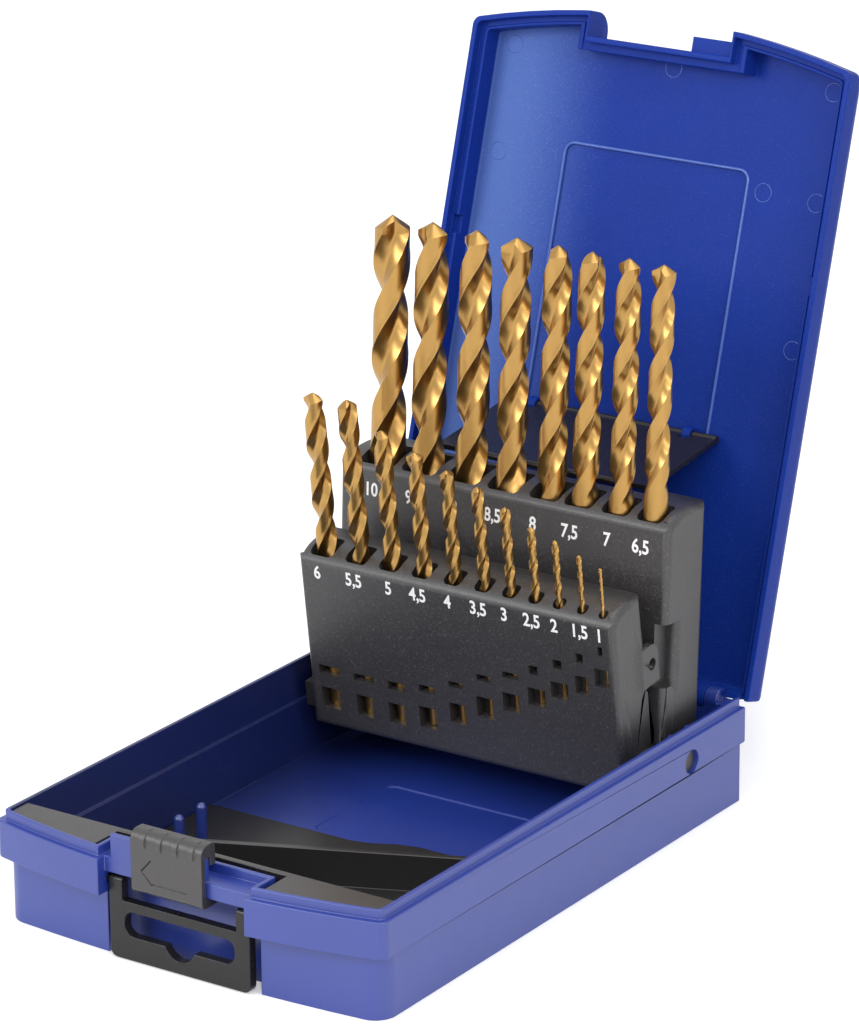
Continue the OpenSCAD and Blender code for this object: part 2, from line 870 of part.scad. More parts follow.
// A drill standing on its shank end, with its point up
module drill(d, length, flute) {
    r = d / 2;
    lead = flute_lead * d;
    tip = r * 0.6;
    body = flute - tip;
    turn = 360 * body / lead;
    n = d < 4.7 ? 8 : 12;
    slices = round(turn / 30);
    color([0.78, 0.6, 0.28]) {
        translate([0, 0, 0.3])
            cylinder(r = r - 0.02, h = length - flute - 0.3, $fn = 24);
        cylinder(r1 = r - 0.3, r2 = r - 0.02, h = 0.3 + eps, $fn = 24);
        translate([0, 0, length - flute - 0.5 * eps]) {
            linear_extrude(body, twist = -turn, slices = slices, segments = n)
                polygon(flute_section(r, n));
            translate([0, 0, body - eps])
                rotate([0, 0, turn])
                    linear_extrude(tip, twist = -360 * tip / lead, scale = 0.12, slices = 2, segments = n)
                        polygon(flute_section(r, n));
        }
    }
}

module rear_drill(i) {
    d = rear_drills[i];
    in_rear_block()
        translate([d[1], rear_face_gap + d[0] / 2, rear_tip - d[2]])
            drill(d[0], d[2], d[3]);
}

module front_drill(i) {
    d = front_drills[i];
    in_front_block()
        translate([d[1], front_face_gap + d[0] / 2, d[4] - d[2]])
            drill(d[0], d[2], d[3]);
}

tray();
lid();
rear_block();
front_block();
front_insert();
latch_slider();
hanger();
lift_plate();
for (i = [0:len(rear_drills) - 1])
    rear_drill(i);
for (i = [0:len(front_drills) - 1])
    front_drill(i);
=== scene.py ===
"""Dresses the folding drill case: moulded plastics, ground drills, printed sizes, and a plain studio."""

import math

import bmesh
import bpy
from mathutils import Matrix, Vector


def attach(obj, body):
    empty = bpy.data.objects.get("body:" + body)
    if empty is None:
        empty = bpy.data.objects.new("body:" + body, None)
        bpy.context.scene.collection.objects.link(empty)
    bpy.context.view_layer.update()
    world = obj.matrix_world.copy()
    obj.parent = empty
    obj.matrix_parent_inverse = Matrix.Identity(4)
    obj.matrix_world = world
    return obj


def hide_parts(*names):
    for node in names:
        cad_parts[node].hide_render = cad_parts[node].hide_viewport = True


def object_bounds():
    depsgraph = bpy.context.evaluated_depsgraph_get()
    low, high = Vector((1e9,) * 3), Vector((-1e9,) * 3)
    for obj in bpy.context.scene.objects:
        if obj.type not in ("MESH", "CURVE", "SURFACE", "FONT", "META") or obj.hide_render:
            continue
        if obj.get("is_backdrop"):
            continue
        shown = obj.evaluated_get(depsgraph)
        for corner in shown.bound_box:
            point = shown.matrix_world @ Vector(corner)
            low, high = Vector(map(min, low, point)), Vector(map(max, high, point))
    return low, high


bl_info = {
    "name": "Folding drill case",
    "version": (1, 0, 0),
    "blender": (4, 5, 0),
    "location": "3D View > Sidebar > Drill case",
    "description": "Moulded case, swinging drill blocks, latch, hanger and gold drills",
    "category": "Object",
}

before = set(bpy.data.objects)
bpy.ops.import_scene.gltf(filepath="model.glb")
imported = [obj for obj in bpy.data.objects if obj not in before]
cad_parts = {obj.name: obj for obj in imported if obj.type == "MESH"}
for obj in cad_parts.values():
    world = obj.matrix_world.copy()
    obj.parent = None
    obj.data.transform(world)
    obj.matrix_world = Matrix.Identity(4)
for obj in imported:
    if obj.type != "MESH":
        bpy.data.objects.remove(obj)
CAD_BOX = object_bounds()
MM = 0.001
# The finishes by name, which the first operator makes
MATERIALS = {}

# Faces that meet below the first angle are one flat face; above the second their edge is rounded
FLAT = math.radians(0.3)
SHARP = math.radians(32)
# Faces join into a flat face whose corners are no wider than this
STRAIGHT = math.pi + 1e-3
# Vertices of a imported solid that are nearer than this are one
SAME_PLACE = 0.003 * MM

# Where the moving parts turn, and how they stand when the case is open
HINGE = Vector((0, 86.0, 27.4)) * MM
PIVOT = Vector((0, 57.7, 20.9)) * MM
LID_OPEN = math.radians(106.8)
REAR_LEAN = math.radians(3.0)
FRONT_LEAN = math.radians(7.2)
# How far the faces of the two blocks stand in front of the pivot
REAR_AHEAD = 3.5 * MM
FRONT_AHEAD = 18.5 * MM
# Half width of each block, and the height in the frame above which its side edges are round at the top
BLOCKS = (("rear_block", 52.5 * MM, 80 * MM), ("front_block", 50.0 * MM, 62 * MM))

# The closed lid: height of its ceiling inside, and the middle of its shallow panel
LID_CEILING = 36.6 * MM
PANEL_MIDDLE = -17.7 * MM
# Its ejector marks: places across and along, in millimetres
EJECTOR_MARKS = (
    (-51, -79.3), (51, -79.3), (-51, -49.3), (51, -49.3), (-51, -9.3), (51, -9.3),
    (-34.5, -49.8), (34.5, -49.8), (0.8, -79.3),
)

# Printed size, diameter, place across, overall length and flute length of each drill, in millimetres
REAR_DRILLS = (
    ("10", 10.0, -41.2, 133, 87), ("9,5", 9.5, -28.0, 125, 81),
    ("9", 9.0, -13.7, 125, 81), ("8,5", 8.5, -0.8, 117, 75),
    ("8", 8.0, 12.3, 117, 75), ("7,5", 7.5, 23.0, 109, 69),
    ("7", 7.0, 34.5, 109, 69), ("6,5", 6.5, 45.2, 101, 63),
)
# Height of the rear row's tips above the blocks' pivot, in millimetres
REAR_TIP = 132.5
# The same as for the rear row, and then the height of each tip
FRONT_DRILLS = (
    ("6", 6.0, -43.4, 93, 57, 93.7), ("5,5", 5.5, -32.2, 93, 57, 93.8),
    ("5", 5.0, -21.6, 86, 52, 86.9), ("4,5", 4.5, -11.3, 80, 47, 82.6),
    ("4", 4.0, -1.3, 75, 43, 79.4), ("3,5", 3.5, 8.2, 70, 39, 76.6),
    ("3", 3.0, 16.7, 61, 33, 72.5), ("2,5", 2.5, 24.6, 57, 30, 68.4),
    ("2", 2.0, 32.0, 49, 24, 66.2), ("1,5", 1.5, 39.3, 40, 18, 63.5),
    ("1", 1.0, 45.8, 34, 12, 61.2),
)
# How far each drill of the rear row is turned in its seat, in radians
REAR_TURN = (0.06, 1.83, 1.08, 2.11, 0.41, 0.40, 0.16, 0.80)
# The same for a drill in the middle of the front row, and how much more each millimetre to the right
FRONT_TURN = 1.1
FRONT_TURN_STEP = 0.37
# Places of the printed sizes across the blocks, in millimetres
REAR_LABEL_X = (-42.1, -28.2, -15.2, -2.7, 10.1, 21.7, 33.3, 43.8)
FRONT_LABEL_X = (-43.9, -32.0, -20.7, -11.3, -1.7, 8.0, 16.2, 24.8, 31.8, 39.6, 45.7)
# How far behind the face of its block each row of drills stands, and how much thinner than its bore
# a drill is, in millimetres
REAR_BEHIND = 1.6
FRONT_BEHIND = 2.0
BORE_PLAY = 0.04
# A drill's foot stands a hair above its seat
SEAT_GAP = 0.04 * MM
# Thickness of the ink, and how far it widens the font's strokes
INK_DEPTH = 0.02 * MM
INK_SPREAD = 0.11 * MM

# The grid that is rolled into a drill: columns round it, the column of each half turn where its land
# ends, the width of the margin on that land, rings below the flutes and steps of the point
AROUND = 48
LAND_END = 10.0
MARGIN = 1.5
RINGS_BELOW = 3
POINT_STEPS = 4
# In diameters: length over which the flutes start, from their end to the rim of the point, and height
# of the chamfer at the foot
RUN_OUT = 1.5
NECK = 0.16
CHAMFER_HEIGHT = 0.05
# In radii: width of that chamfer, and how far the heel of each cutting face falls away
CHAMFER_WIDTH = 0.1
HEEL_DROP = 0.22
# The flute's section is half a sine wave to this power
FLUTE_POWER = 0.8
# Points of the rolled grid that are nearer than this are one, and edges that bend less are smooth
WELD = 0.001 * MM
CREASE = math.radians(38)

# A painted sheen, standing for light that falls on the lid's ceiling: it is painted lighter towards the
# left side. Where that starts, over what width, and its tint
PAINTED_SHEEN_FROM = -14 * MM
PAINTED_SHEEN_WIDTH = 40 * MM
PAINTED_SHEEN_TINT = (0.12, 0.22, 0.55, 1.0)
# Painted shade: the tray is painted darker inside towards its left wall, where shade falls. Where that
# starts, over what width, and what bounds it
PAINTED_SHADE_FROM = -18 * MM
PAINTED_SHADE_WIDTH = 38 * MM
TRAY_LEFT = -58.45 * MM
TRAY_FRONT = -82 * MM
TRAY_BACK = 83 * MM
TRAY_FLOOR = 0.5 * MM

# Where the camera stands, and how it is turned
CAMERA_PLACE = Vector((683.08, -975.51, 510.87)) * MM
AZIMUTH = math.radians(34.36)
ELEVATION = math.radians(19.2)
ROLL = math.radians(-0.53)


def placed(centre, angle, shift):
    """The matrix that moves a thing by shift, turns it about X and stands it at the centre."""
    return Matrix.Translation(centre) @ Matrix.Rotation(angle, 4, "X") @ Matrix.Translation(shift)


REAR_PLACE = placed(PIVOT, -REAR_LEAN, (0, -REAR_AHEAD, 0))
FRONT_PLACE = placed(PIVOT, FRONT_LEAN, (0, -FRONT_AHEAD, 0))
LID_PLACE = placed(HINGE, -LID_OPEN, -HINGE)


# ---- Node helpers -------------------------------------------------------------


def feed(tree, slot, value):
    """Links a wire to a node's input, or sets the input to a plain value."""
    if isinstance(value, Wire):
        tree.links.new(value.socket, slot)
    else:
        slot.default_value = value


def maths(tree, operation, *values):
    """A Math node on wires and numbers."""
    made = tree.nodes.new("ShaderNodeMath")
    made.operation = operation
    for slot, value in zip(made.inputs, values):
        feed(tree, slot, value)
    return Wire(tree, made.outputs[0])


class Wire:
    """A node's output that Python's operators work on: each one adds a Math node."""

    def __init__(self, tree, socket):
        self.tree = tree
        self.socket = socket

    def __add__(self, other):
        return maths(self.tree, "ADD", self, other)

    __radd__ = __add__

    def __sub__(self, other):
        return maths(self.tree, "SUBTRACT", self, other)

    def __rsub__(self, other):
        return maths(self.tree, "SUBTRACT", other, self)

    def __mul__(self, other):
        return maths(self.tree, "MULTIPLY", self, other)

    __rmul__ = __mul__

    def __truediv__(self, other):
        return maths(self.tree, "DIVIDE", self, other)

    def __pow__(self, other):
        return maths(self.tree, "POWER", self, other)

    def __mod__(self, other):
        return maths(self.tree, "FLOORED_MODULO", self, other)

    def __abs__(self):
        return maths(self.tree, "ABSOLUTE", self)

    def __round__(self):
        return maths(self.tree, "ROUND", self)

    def above(self, other):
        """1 where this value is above the other and 0 elsewhere."""
        return maths(self.tree, "GREATER_THAN", self, other)

    def at_least(self, other):
        """The larger of this value and the other."""
        return maths(self.tree, "MAXIMUM", self, other)

    def sin(self):
        return maths(self.tree, "SINE", self)

    def cos(self):
        return maths(self.tree, "COSINE", self)

    def clamp(self):
        """This value, held between 0 and 1."""
        held = self + 0.0
        held.socket.node.use_clamp = True
        return held

    def smooth(self):
        """This value, held between 0 and 1 and eased at both ends."""
        held = self.clamp()
        return held * held * (3.0 - 2.0 * held)

    def out(self, name):
        """Another output of the same node."""
        return Wire(self.tree, self.socket.node.outputs[name])


def between(first, second, share):
    """The first value where share is 0 and the second where it is 1."""
    return first + (second - first) * share


class Bench:
    """Adds nodes to one tree."""

    def __init__(self, tree):
        self.tree = tree

    def add(self, kind, settings=None, values=None, out=0):
        """A node of this kind with its settings, then its sockets' values; gives an output of it."""
        made = self.tree.nodes.new(kind)
        for name, value in (settings or {}).items():
            setattr(made, name, value)
        for name, value in (values or {}).items():
            feed(self.tree, made.inputs[name], value)
        return Wire(self.tree, made.outputs[out]) if made.outputs else None

    def mix(self, share, first, second):
        """A colour between two colours."""
        return self.add("ShaderNodeMix", {"data_type": "RGBA"}, {0: share, 6: first, 7: second}, out=2)

    def noise(self, place, scale, detail, roughness=0.5):
        """A noise at these coordinates."""
        values = {"Vector": place, "Scale": scale, "Detail": detail, "Roughness": roughness}
        return self.add("ShaderNodeTexNoise", None, values)

    def backdrop_share(self):
        """1 for rays of the camera, of gloss and of glass, and 0 for those that light the object."""
        rays = self.add("ShaderNodeLightPath", out="Is Camera Ray")
        return (rays + rays.out("Is Glossy Ray") + rays.out("Is Transmission Ray")).clamp()


# ---- Finishes -----------------------------------------------------------------


def shade(colour, factor, lift=0.0):
    """The colour times a factor, lifted by an even share of white, and opaque."""
    return tuple(min(part * factor + lift, 1.0) for part in colour[:3]) + (1.0,)


def emptied(block):
    """Empties the nodes of a new material or world, and gives a bench to work on them."""
    block.use_nodes = True
    block.node_tree.nodes.clear()
    return Bench(block.node_tree)


def close_material(bench, values):
    """Ends a material's nodes with the surface shader, whose sockets take these values."""
    shader = bench.add("ShaderNodeBsdfPrincipled", None, values)
    bench.add("ShaderNodeOutputMaterial", None, {"Surface": shader})


def ramp(distance, width=0.4 * MM):
    """0 up to a place and 1 from this width beyond it, for a distance beyond that place."""
    return (distance / width).clamp()


def lid_painted_sheen(bench, place):
    """Share of the painted sheen: 1 on the left of the lid's ceiling, fading to 0 towards its middle and
    off the ceiling.
    """
    facing = LID_PLACE.to_3x3() @ Vector((0, 0, -1))
    ceiling = facing.dot(LID_PLACE @ Vector((0, 0, LID_CEILING)))
    above = bench.add(
        "ShaderNodeVectorMath", {"operation": "DOT_PRODUCT"}, {0: place, 1: facing}, out="Value"
    )
    inside = 1.0 - ramp(abs(above - ceiling) - 0.6 * MM)
    across = bench.add("ShaderNodeSeparateXYZ", None, {0: place})
    return ((PAINTED_SHEEN_FROM - across) / PAINTED_SHEEN_WIDTH).smooth() * inside


def tray_painted_shade(bench, place):
    """Share of the painted shade: 0 on the outside of the tray, rising inside from its middle to 1 at its
    left wall.
    """
    across = bench.add("ShaderNodeSeparateXYZ", None, {0: place})
    along, up = across.out("Y"), across.out("Z")
    inside = ramp(across - TRAY_LEFT, 0.2 * MM) * ramp(up - TRAY_FLOOR)
    inside = inside * ramp(along - TRAY_FRONT) * ramp(TRAY_BACK - along)
    return ramp(PAINTED_SHADE_FROM - across, PAINTED_SHADE_WIDTH) * inside


def moulded_plastic(
    name, colour, roughness, grain, depth, speck=0.1, cloud=0.12, specular=0.5, painted_sheen=0.0, painted_shade=0.0
):
    """Injection-moulded plastic: a spark-eroded grain, its light specks, slow clouds of tone and rubs.

    The grain's width and depth are in millimetres, and speck and cloud say how strong those two are.
    A painted sheen lightens the lid's ceiling towards the left side, and makes its specks denser there as
    painted glints.
    A painted shade deepens the tone inside the tray towards its left wall.
    """
    material = bpy.data.materials.new(name)
    bench = emptied(material)
    place = bench.add("ShaderNodeTexCoord", out="Object")
    fine = bench.noise(place, 1.0 / (grain * MM), 2.0, 0.6)
    slow = bench.noise(place, 38.0, 3.0, 0.55)
    rubs = bench.noise(place, 210.0, 4.0, 0.7)
    tone = bench.mix(slow, shade(colour, 1.0 - cloud), shade(colour, 1.0 + cloud))
    # Painted sheen: the lid's ceiling is painted lighter towards its left, with denser specks there as
    # painted glints
    if painted_sheen > 0:
        left = lid_painted_sheen(bench, place)
        tone = bench.mix(left * painted_sheen, tone, PAINTED_SHEEN_TINT)
        speck = speck * (0.15 + left)
    # Painted shade: the inside of the tray is painted darker towards its left wall
    if painted_shade > 0:
        tone = bench.mix(tray_painted_shade(bench, place) * painted_shade, tone, shade(colour, 0.15))
    bright = ((fine - 0.57) * 10.0).clamp() * speck
    relief = {"Height": fine * 0.8 + rubs * 0.35, "Strength": 1.0, "Distance": depth * MM}
    close_material(bench, {
        "Base Color": bench.mix(bright, tone, shade(colour, 1.3, 0.12)),
        "Roughness": (roughness + (fine - 0.5) * 0.25 + (rubs - 0.5) * 0.12).clamp(),
        "Normal": bench.add("ShaderNodeBump", None, relief),
        "Specular IOR Level": specular,
    })
    return material


def ground_gold(name, colour, roughness):
    """Gold-tinted steel, ground round its axis, with a slightly deeper tint in slow patches."""
    material = bpy.data.materials.new(name)
    bench = emptied(material)
    place = bench.add("ShaderNodeTexCoord", out="Object")
    stretched = bench.add("ShaderNodeMapping", None, {"Vector": place, "Scale": (260.0, 260.0, 5200.0)})
    lines = bench.noise(stretched, 1.0, 2.0)
    slow = bench.noise(place, 130.0, 3.0)
    tint = bench.mix(slow, shade(colour, 0.82), shade(colour, 1.12))
    relief = {"Height": lines, "Strength": 0.2, "Distance": 0.001 * MM}
    close_material(bench, {
        "Base Color": bench.mix(lines, shade(colour, 0.9), tint),
        "Roughness": (roughness + (lines - 0.5) * 0.06 + (slow - 0.5) * 0.08).clamp(),
        "Normal": bench.add("ShaderNodeBump", None, relief),
        "Metallic": 1.0,
    })
    return material


def printed_ink(name, colour):
    """Pad-printed ink, a little thin in places."""
    material = bpy.data.materials.new(name)
    bench = emptied(material)
    place = bench.add("ShaderNodeTexCoord", out="Object")
    thin = bench.noise(place, 2600.0, 2.0)
    close_material(bench, {
        "Base Color": bench.mix(thin, shade(colour, 0.8), shade(colour, 1.05)),
        "Roughness": 0.5 + thin * 0.2,
    })
    return material


# ---- Sizes and colours that a user may change -----------------------------------


def colour_property(name, description, default):
    """A colour that a user may change."""
    return bpy.props.FloatVectorProperty(
        name=name, description=description, subtype="COLOR", size=3, min=0.0, max=1.0, default=default
    )


class DRILLCASE_PG_finish(bpy.types.PropertyGroup):
    """Colours and surface of the case"""

    lid_blue: colour_property("Lid blue", "Colour of the lid's plastic", (0.006, 0.030, 0.255))
    tray_blue: colour_property("Tray blue", "Colour of the tray's plastic", (0.011, 0.034, 0.262))
    block_black: colour_property("Block black", "Colour of the drill blocks", (0.023, 0.021, 0.023))
    insert_black: colour_property("Insert black", "Colour of the tray's insert", (0.010, 0.009, 0.010))
    latch_black: colour_property("Latch black", "Colour of the slider and hanger", (0.030, 0.027, 0.029))
    drill_gold: colour_property("Drill gold", "Tint of the drills' steel", (0.475, 0.28, 0.09))
    ink_white: colour_property("Ink white", "Colour of the printed sizes", (0.95, 0.95, 0.95))
    blue_roughness: bpy.props.FloatProperty(
        name="Blue roughness", description="Roughness of the lid and tray", default=0.42, min=0.0, max=1.0
    )
    black_roughness: bpy.props.FloatProperty(
        name="Black roughness", description="Roughness of the dark mouldings",
        default=0.46, min=0.0, max=1.0,
    )
    gold_roughness: bpy.props.FloatProperty(
        name="Gold roughness", description="Roughness of the drills", default=0.32, min=0.0, max=1.0
    )
    edge_width: bpy.props.FloatProperty(
        name="Edge rounding", description="Rounding of the mouldings' edges", unit="LENGTH",
        default=0.3 * MM, min=0.0, max=2 * MM,
    )
    block_width: bpy.props.FloatProperty(
        name="Block rounding", description="Rounding of the blocks' outer side edges", unit="LENGTH",
        default=2.2 * MM, min=0.0, max=2.5 * MM,
    )


class DRILLCASE_PG_drills(bpy.types.PropertyGroup):
    """Shape of the drills"""

    lead: bpy.props.FloatProperty(
        name="Lead", description="Length of one turn of a flute, in diameters",
        default=5.4, min=3.0, max=8.0,
    )
    web: bpy.props.FloatProperty(
        name="Web", description="Core between the flutes, as a share of the diameter",
        default=0.43, min=0.1, max=0.6,
    )
    clearance: bpy.props.FloatProperty(
        name="Land clearance", description="Radius of the lands behind their margins, as a share",
        default=0.955, min=0.9, max=1.0,
    )
    point: bpy.props.FloatProperty(
        name="Point angle", description="Angle of the drills' points", subtype="ANGLE",
        default=math.radians(118), min=math.radians(90), max=math.radians(140),
    )
    rings: bpy.props.IntProperty(
        name="Rings", description="Rings along each fluted part", default=150, min=24, max=200
    )


class DRILLCASE_PG_labels(bpy.types.PropertyGroup):
    """Printed sizes on the blocks"""

    height: bpy.props.FloatProperty(
        name="Text size", description="Size of the printed figures", unit="LENGTH",
        default=5.3 * MM, min=1 * MM, max=10 * MM,
    )
    narrow: bpy.props.FloatProperty(
        name="Narrowing", description="Width of the figures against the plain font",
        default=0.84, min=0.4, max=1.2,
    )
    rear_row: bpy.props.FloatProperty(
        name="Rear row", description="Height of the rear row above the pivot", unit="LENGTH",
        default=57.0 * MM,
    )
    front_row: bpy.props.FloatProperty(
        name="Front row", description="Height of the front row above the pivot", unit="LENGTH",
        default=42.5 * MM,
    )


class DRILLCASE_PG_stage(bpy.types.PropertyGroup):
    """Studio and camera"""

    key_power: bpy.props.FloatProperty(
        name="Key light", description="Power of the large light on the left", unit="POWER",
        default=7.0, min=0.0,
    )
    fill_power: bpy.props.FloatProperty(
        name="Fill light", description="Power of the light on the right", unit="POWER",
        default=5.0, min=0.0,
    )
    glint_power: bpy.props.FloatProperty(
        name="Glint light", description="Power of the narrow light near the camera", unit="POWER",
        default=5.0, min=0.0,
    )
    top_power: bpy.props.FloatProperty(
        name="Top light", description="Power of the light above", unit="POWER",
        default=5.0, min=0.0,
    )
    room: bpy.props.FloatProperty(
        name="Room light", description="Strength of the even light from all round",
        default=0.66, min=0.0, max=2.0,
    )
    lens: bpy.props.FloatProperty(
        name="Lens", description="Focal length of the camera in millimetres",
        default=172.99, min=20.0, max=400.0,
    )


# ---- Mesh helpers ---------------------------------------------------------------


def link(obj):
    """Puts an object in the scene."""
    bpy.context.scene.collection.objects.link(obj)
    return obj


def evaluated_mesh(obj):
    """The finished mesh of an object with its modifiers, as plain data."""
    graph = bpy.context.evaluated_depsgraph_get()
    graph.update()
    return bpy.data.meshes.new_from_object(obj.evaluated_get(graph), depsgraph=graph)


def finish_piece(obj, material, body, slot, *nodes):
    """Gives a piece its material, hangs it from the empty of the body that carries it, and hides the
    imported parts that it stands for.
    """
    obj.data.materials.clear()
    obj.data.materials.append(material)
    for polygon in obj.data.polygons:
        polygon.material_index = 0
    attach(obj, body)
    if nodes:
        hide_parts(*nodes)


def merge_flat(work):
    """Joins the triangles of each flat face where the result stays convex, longest shared edge first."""

    def width_at(corner, faces):
        """The angle that the two faces fill at a corner."""
        return sum(loop.calc_angle() for loop in corner.link_loops if loop.face in faces)

    flat = [edge for edge in work.edges if len(edge.link_faces) == 2 and edge.calc_face_angle(9) < FLAT]
    for edge in sorted(flat, key=lambda edge: -edge.calc_length()):
        faces = tuple(edge.link_faces)
        shared = set(faces[0].verts) & set(faces[1].verts)
        if len(shared) == 2 and all(width_at(corner, faces) < STRAIGHT for corner in edge.verts):
            bmesh.utils.face_join(faces)
    work.normal_update()


def dressed_copy(node, name, width, weigh=None, segments=2):
    """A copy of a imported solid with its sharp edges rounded; weigh gives an edge's share of the width."""
    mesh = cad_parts[node].data.copy()
    mesh.name = name
    work = bmesh.new()
    work.from_mesh(mesh)
    bmesh.ops.remove_doubles(work, verts=work.verts, dist=SAME_PLACE)
    merge_flat(work)
    weights = work.edges.layers.float.new("bevel_weight_edge")
    for edge in work.edges:
        if len(edge.link_faces) == 2 and edge.calc_face_angle(0) > SHARP:
            edge[weights] = weigh(edge) if weigh else 1.0
            edge.smooth = edge[weights] > 0
    work.to_mesh(mesh)
    work.free()
    for layer in list(mesh.uv_layers):
        mesh.uv_layers.remove(layer)
    if mesh.attributes.get("custom_normal"):
        mesh.attributes.remove(mesh.attributes["custom_normal"])
    mesh.polygons.foreach_set("use_smooth", [True] * len(mesh.polygons))
    obj = link(bpy.data.objects.new(name, mesh))
    bevel = obj.modifiers.new("Edges", "BEVEL")
    bevel.width = width
    bevel.segments = segments
    bevel.limit_method = "WEIGHT"
    bevel.use_clamp_overlap = False
    bevel.miter_outer = "MITER_ARC"
    even = obj.modifiers.new("Normals", "WEIGHTED_NORMAL")
    even.mode = "FACE_AREA"
    even.weight = 50
    even.keep_sharp = True
    return obj


def outer_sides(half, low):
    """Picks a block's outer side edges: the upright ones, and all that lie above the height low."""

    def weigh(edge):
        """1 for an edge of one face that looks along X, at the block's full width, and 0 for others."""
        if any(abs(abs(corner.co.x) - half) > 0.1 * MM for corner in edge.verts):
            return 0.0
        turned = [abs(face.normal.x) > 0.9 for face in edge.link_faces]
        upright = all(abs(face.normal.z) < 0.3 for face in edge.link_faces)
        high = all(corner.co.z > low for corner in edge.verts)
        return 1.0 if turned[0] != turned[1] and (upright or high) else 0.0

    return weigh


def join_meshes(name, meshes):
    """One mesh object from several plain meshes."""
    work = bmesh.new()
    for mesh in meshes:
        work.from_mesh(mesh)
    joined = bpy.data.meshes.new(name)
    work.to_mesh(joined)
    work.free()
    return link(bpy.data.objects.new(name, joined))


# ---- Geometry node trees ----------------------------------------------------------


def new_tree(name, **numbers):
    """A geometry tree that takes a mesh, these numbers and a material; gives its bench and its inputs."""
    tree = bpy.data.node_groups.new(name, "GeometryNodeTree")
    tree.interface.new_socket("Geometry", in_out="INPUT", socket_type="NodeSocketGeometry")
    for label, default in numbers.items():
        kind = "NodeSocketInt" if isinstance(default, int) else "NodeSocketFloat"
        tree.interface.new_socket(label, in_out="INPUT", socket_type=kind).default_value = default
    tree.interface.new_socket("Material", in_out="INPUT", socket_type="NodeSocketMaterial")
    tree.interface.new_socket("Geometry", in_out="OUTPUT", socket_type="NodeSocketGeometry")
    bench = Bench(tree)
    outputs = bench.add("NodeGroupInput").socket.node.outputs
    return bench, {socket.name: Wire(tree, socket) for socket in outputs if socket.name}


def close_tree(bench, geometry, material):
    """Makes the geometry real, gives it its material and hands it out of the tree."""
    plain = bench.add("GeometryNodeRealizeInstances", None, {"Geometry": geometry})
    done = bench.add("GeometryNodeSetMaterial", None, {"Geometry": plain, "Material": material})
    bench.add("NodeGroupOutput", None, {0: done})
    return bench.tree


def circle(bench, resolution, radius):
    """A circle as a curve."""
    values = {"Resolution": resolution, "Radius": radius}
    return bench.add("GeometryNodeCurvePrimitiveCircle", {"mode": "RADIUS"}, values)


def tube(bench, curve, resolution, radius):
    """A smooth round tube along a curve."""
    profile = circle(bench, resolution, radius)
    wall = bench.add("GeometryNodeCurveToMesh", None, {"Curve": curve, "Profile Curve": profile})
    return bench.add("GeometryNodeSetShadeSmooth", {"domain": "FACE"}, {"Geometry": wall})


def run_tree(tree, base, values):
    """Runs a geometry tree on a mesh with these inputs, and gives the result as a plain mesh."""
    obj = link(bpy.data.objects.new(tree.name, base))
    modifier = obj.modifiers.new("Made", "NODES")
    modifier.node_group = tree
    for item in tree.interface.items_tree:
        if item.item_type == "SOCKET" and item.in_out == "INPUT" and item.name in values:
            modifier[item.identifier] = values[item.name]
    mesh = evaluated_mesh(obj)
    bpy.data.objects.remove(obj)
    return mesh


